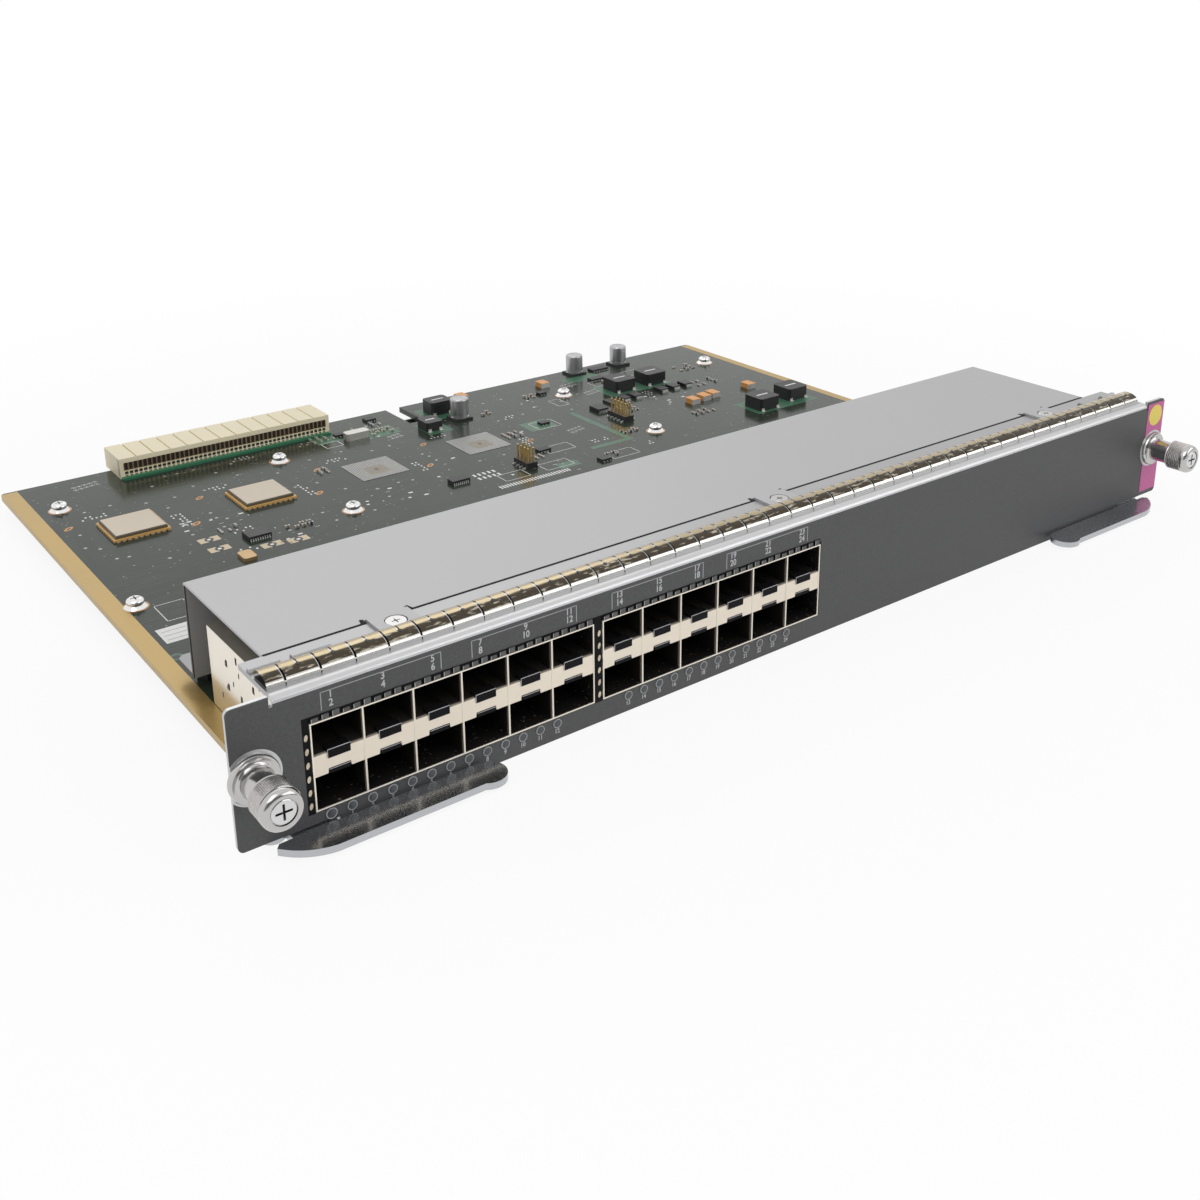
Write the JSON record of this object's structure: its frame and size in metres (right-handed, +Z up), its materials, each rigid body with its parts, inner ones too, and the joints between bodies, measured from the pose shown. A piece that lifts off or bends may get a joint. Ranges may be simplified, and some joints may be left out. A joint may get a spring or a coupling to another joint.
{
  "type": "switch line card",
  "caption": "Network switch line card: dark faceplate with 24 stacked ports, finger gasket, shield cover, circuit board with chips and backplane connector, captive screws and levers.",
  "frame": {"origin": "middle of the floor of the bounding box", "axes": "X across the card to the right seen from the front, Y from the faceplate to the backplane connector, Z up"},
  "size_m": [0.386, 0.2944, 0.045],
  "materials": {
    "faceplate_paint": "satin",
    "bare_steel": "satin",
    "polished_steel": "polished",
    "shield_steel": "satin",
    "gasket_metal": "bright",
    "cage_metal": "satin",
    "spring_metal": "bright",
    "board_laminate": "semi-matt solder mask",
    "black_plastic": "matt",
    "cream_plastic": "matt",
    "green_plastic": "matt",
    "clear_plastic": "translucent",
    "gold": "bright",
    "solder": "satin",
    "chip_lid": "satin",
    "chip_laminate": "satin",
    "can_aluminium": "satin",
    "orange_ceramic": "satin",
    "magenta_film": "film",
    "yellow_film": "film"
  },
  "bodies": {
    "card": {"faceplate": "faceplate_paint", "flange_nuts": "bare_steel", "emi_gasket": "gasket_metal", "shield_cover": "shield_steel", "shield_screws": "polished_steel", "shield_spacers": "black_plastic", "foot_screws": "bare_steel", "circuit_board": "board_laminate", "carrier_tray": "bare_steel", "standoffs": "gold", "board_screws": "polished_steel", "cage_shell_left": "cage_metal", "cage_shell_right": "cage_metal", "cage_dividers_left": "cage_metal", "cage_dividers_right": "cage_metal", "cage_separators_left": "cage_metal", "cage_separators_right": "cage_metal", "cage_latches_left": "black_plastic", "cage_latches_right": "black_plastic", "cage_springs_left": "spring_metal", "cage_springs_right": "spring_metal", "cage_connectors_left": "black_plastic", "cage_connectors_right": "black_plastic", "light_pipe_left": "clear_plastic", "light_pipe_right": "clear_plastic", "status_leds": "clear_plastic", "ear_label": "magenta_film", "label_dot": "yellow_film", "ferrules": "polished_steel", "left_screw_spring": "bare_steel", "right_screw_spring": "bare_steel", "lever_rivets": "bare_steel", "backplane_housing": "cream_plastic", "backplane_contacts": "gold", "backplane_strip": "green_plastic", "chip_substrates": "chip_laminate", "chip_lids": "chip_lid", "chip_footprints": "solder", "can_bases": "black_plastic", "can_capacitors": "can_aluminium", "inductors": "black_plastic", "ceramic_capacitors": "orange_ceramic", "transistors": "black_plastic", "header_bodies": "black_plastic", "header_pins": "gold", "gull_wing_chips": "black_plastic", "crystals": "gold"},
    "left_lever": {"left_lever": "bare_steel"},
    "right_lever": {"right_lever": "bare_steel"},
    "left_screw_slide": {"left_screw_washer": "bare_steel"},
    "right_screw_slide": {"right_screw_washer": "bare_steel"},
    "left_screw": {"left_screw_knob": "bare_steel", "left_screw_shaft": "bare_steel"},
    "right_screw": {"right_screw_knob": "bare_steel", "right_screw_shaft": "bare_steel"}
  },
  "joints": [
    {"name": "left_lever_swing", "type": "hinge", "parent": "card", "child": "left_lever", "pos_m": [-0.17255, -0.12075, 0.0022], "axis": [0, 0, 1], "range_deg": [-70, 0]},
    {"name": "right_lever_swing", "type": "hinge", "parent": "card", "child": "right_lever", "pos_m": [0.17255, -0.12075, 0.0022], "axis": [0, 0, 1], "range_deg": [0, 70]},
    {"name": "left_screw_push", "type": "slide", "parent": "card", "child": "left_screw_slide", "axis": [0, 1, 0], "range_m": [0, 0.005], "stiffness_N_per_m": 400, "springref_m": -0.003, "deforming": ["left_screw_spring"]},
    {"name": "left_screw_turn", "type": "hinge", "parent": "left_screw_slide", "child": "left_screw", "pos_m": [-0.18635, -0.13825, 0.0227], "axis": [0, 1, 0], "continuous": true},
    {"name": "right_screw_push", "type": "slide", "parent": "card", "child": "right_screw_slide", "axis": [0, 1, 0], "range_m": [0, 0.005], "stiffness_N_per_m": 400, "springref_m": -0.003, "deforming": ["right_screw_spring"]},
    {"name": "right_screw_turn", "type": "hinge", "parent": "right_screw_slide", "child": "right_screw", "pos_m": [0.18635, -0.13825, 0.0227], "axis": [0, 1, 0], "continuous": true}
  ]
}
